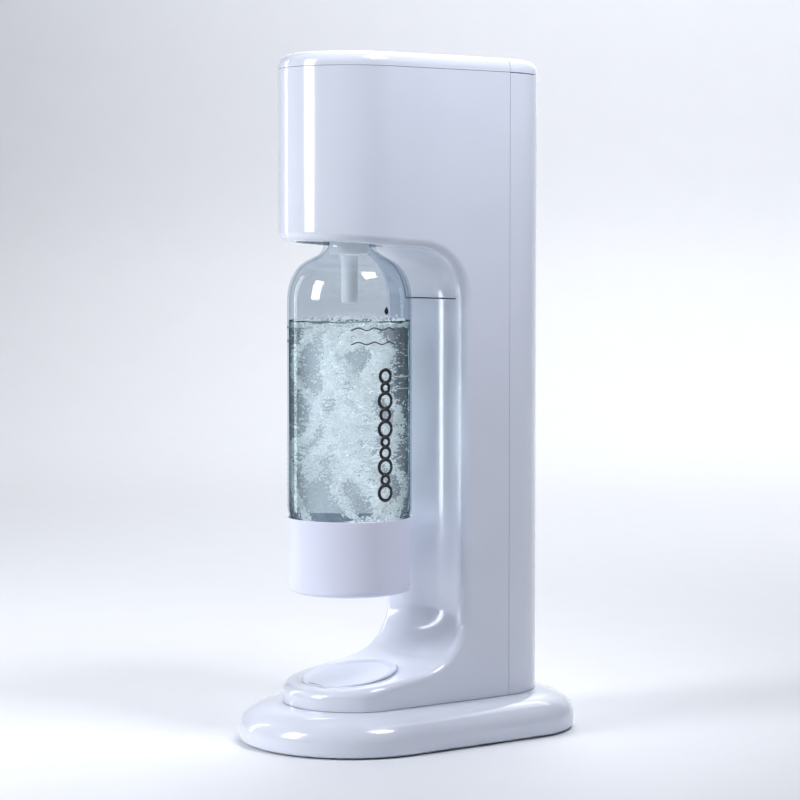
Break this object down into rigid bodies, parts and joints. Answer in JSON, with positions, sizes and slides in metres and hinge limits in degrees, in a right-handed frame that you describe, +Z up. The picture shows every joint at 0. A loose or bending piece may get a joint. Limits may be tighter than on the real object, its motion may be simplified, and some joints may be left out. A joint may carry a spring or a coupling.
{
  "type": "soda carbonator",
  "caption": "Slim countertop soda carbonator: C-shaped glossy housing on a crowned foot, gas cylinder behind a rear cover, bottle hung in a tilting holder, push button on top.",
  "frame": {"origin": "centre of the base's footprint, on the surface the rubber feet stand on", "axes": "+Z up, -Y towards the bottle and the user, +X to the right of a user who faces the machine's front"},
  "size_m": [0.1536, 0.2461, 0.4653],
  "materials": {
    "glossy_shell": "glossy moulded white plastic with a cool cast",
    "bottle_clear": "clear blow-moulded PET",
    "white_nozzle": "smooth white plastic",
    "grey_plastic": "satin grey moulding",
    "dark_plastic": "matte glass-filled nylon",
    "rubber": "matte black rubber",
    "steel": "zinc-plated steel",
    "brass": "turned brass",
    "cylinder_paint": "satin enamel on an aluminium cylinder"
  },
  "bodies": {
    "machine": {"base_plate": "glossy_shell", "base_bottom_cover": "grey_plastic", "rubber_foot_front_left": "rubber", "rubber_foot_front_right": "rubber", "rubber_foot_rear_left": "rubber", "rubber_foot_rear_right": "rubber", "cylinder_rest_pad": "rubber", "base_screw_1": "steel", "base_screw_2": "steel", "base_screw_3": "steel", "base_screw_4": "steel", "main_housing": "glossy_shell", "drip_dish": "glossy_shell", "top_cover": "glossy_shell", "inner_frame": "dark_plastic", "frame_screw_1": "steel", "frame_screw_2": "steel", "frame_screw_3": "steel", "frame_screw_4": "steel", "lever_pin": "steel", "button_spring": "steel", "gas_valve_body": "brass", "gas_valve_nut": "steel", "cylinder_seal": "rubber", "gas_hose": "dark_plastic", "tilt_pin_left": "steel", "tilt_pin_right": "steel"},
    "button": {"carbonating_button": "glossy_shell"},
    "lever": {"press_lever": "steel"},
    "pin": {"valve_pin": "steel"},
    "holder": {"bottle_holder": "glossy_shell", "bottle_seal": "rubber", "nozzle_block": "grey_plastic", "carbonating_nozzle": "white_nozzle", "relief_valve": "brass"},
    "bottle": {"bottle": "bottle_clear", "bottle_base_cup": "glossy_shell"},
    "cylinder": {"co2_cylinder": "cylinder_paint", "cylinder_valve": "brass"},
    "cover": {"rear_cover": "glossy_shell", "rear_cap": "glossy_shell"}
  },
  "joints": [
    {"name": "button_press", "type": "slide", "parent": "machine", "child": "button", "axis": [0, 0, -1], "range_m": [0, 0.007], "stiffness_N_per_m": 500, "springref_m": -0.004, "deforming": ["button_spring"]},
    {"name": "lever_swing", "type": "hinge", "parent": "machine", "child": "lever", "pos_m": [0, 0.0885, 0.426], "axis": [1, 0, 0], "range_deg": [0, 3.5]},
    {"name": "pin_push", "type": "slide", "parent": "machine", "child": "pin", "axis": [0, 0, -1], "range_m": [0, 0.0016]},
    {"name": "holder_tilt", "type": "hinge", "parent": "machine", "child": "holder", "pos_m": [0, -0.0475, 0.352], "axis": [-1, 0, 0], "range_deg": [0, 12]},
    {"name": "bottle_drop", "type": "slide", "parent": "holder", "child": "bottle", "axis": [0, 0, -1], "range_m": [0, 0.045]},
    {"name": "cylinder_turn", "type": "hinge", "parent": "machine", "child": "cylinder", "pos_m": [0, 0.0645, 0.2], "axis": [0, 0, 1], "range_deg": [0, 1080]},
    {"name": "cover_pull", "type": "slide", "parent": "machine", "child": "cover", "axis": [0, 1, 0], "range_m": [0, 0.09]}
  ],
  "couplings": [
    {"joint": "lever_swing", "follows": "button_press", "rad_per_m": 7.35},
    {"joint": "pin_push", "follows": "button_press", "ratio": 0.176}
  ]
}
